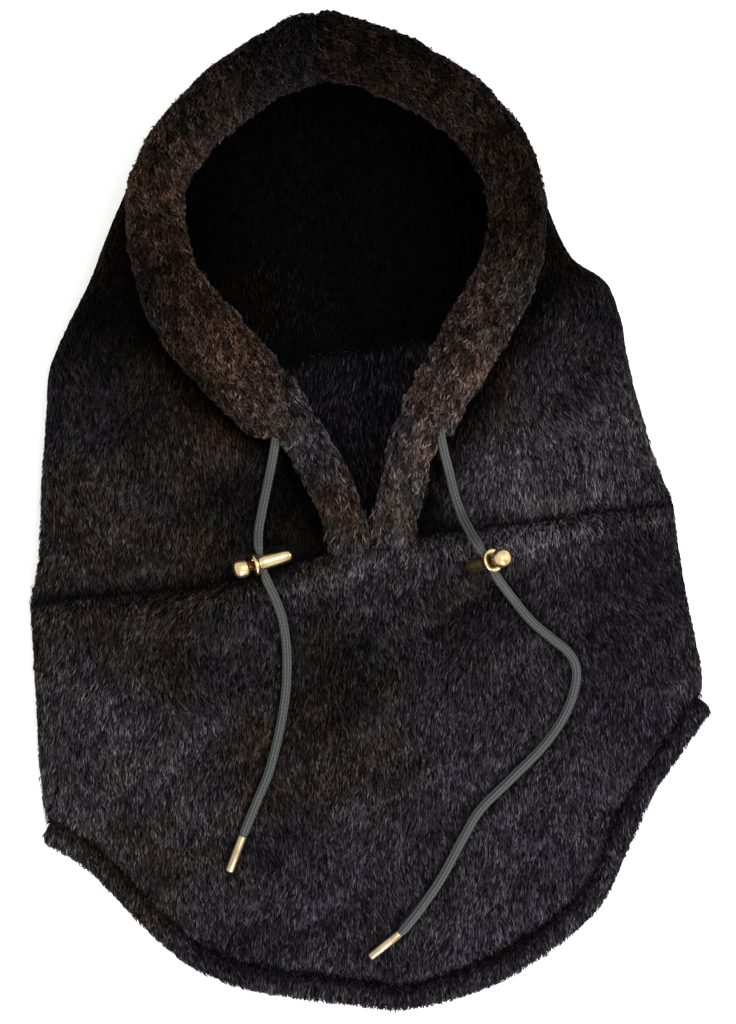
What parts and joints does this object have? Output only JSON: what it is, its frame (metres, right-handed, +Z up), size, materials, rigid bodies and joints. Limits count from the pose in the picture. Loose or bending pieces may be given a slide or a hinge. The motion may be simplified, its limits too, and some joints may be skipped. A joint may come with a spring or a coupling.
{
  "type": "hooded scarf",
  "caption": "Pull-over plush hooded scarf lying flat: padded roll round the face opening, wide bib with a tubular hem, drawcords with spring locks and metal tips.",
  "frame": {"origin": "on the ground under the middle of the scarf's outline, as it lies flat on its back", "axes": "+X towards the picture's right, +Y from the hem towards the crown, +Z up out of the front"},
  "size_m": [0.3426, 0.4984, 0.0651],
  "materials": {
    "plush": "deep pile, matte",
    "braid": "round braided cord",
    "pale_gold": "polished pale gold plating"
  },
  "bodies": {
    "scarf": {"roll_left": "plush", "roll_right": "plush", "hood_left": "plush", "hood_right": "plush", "front_bib": "plush", "back_bib": "plush", "hem_front": "plush", "hem_back": "plush", "drawcord_left": "braid", "drawcord_right": "braid", "toggle_left_barrel": "pale_gold", "toggle_right_barrel": "pale_gold", "aglet_left": "pale_gold", "aglet_right": "pale_gold"},
    "toggle_left_button": {"toggle_left_button": "pale_gold"},
    "toggle_right_button": {"toggle_right_button": "pale_gold"}
  },
  "joints": [
    {"name": "toggle_left_press", "type": "slide", "parent": "scarf", "child": "toggle_left_button", "axis": [0.9366, 0.2684, -0.2254], "range_m": [0, 0.003], "stiffness_N_per_m": 150, "springref_m": -0.006},
    {"name": "toggle_right_press", "type": "slide", "parent": "scarf", "child": "toggle_right_button", "axis": [-0.617, -0.18, -0.7661], "range_m": [0, 0.003], "stiffness_N_per_m": 150, "springref_m": -0.006}
  ]
}
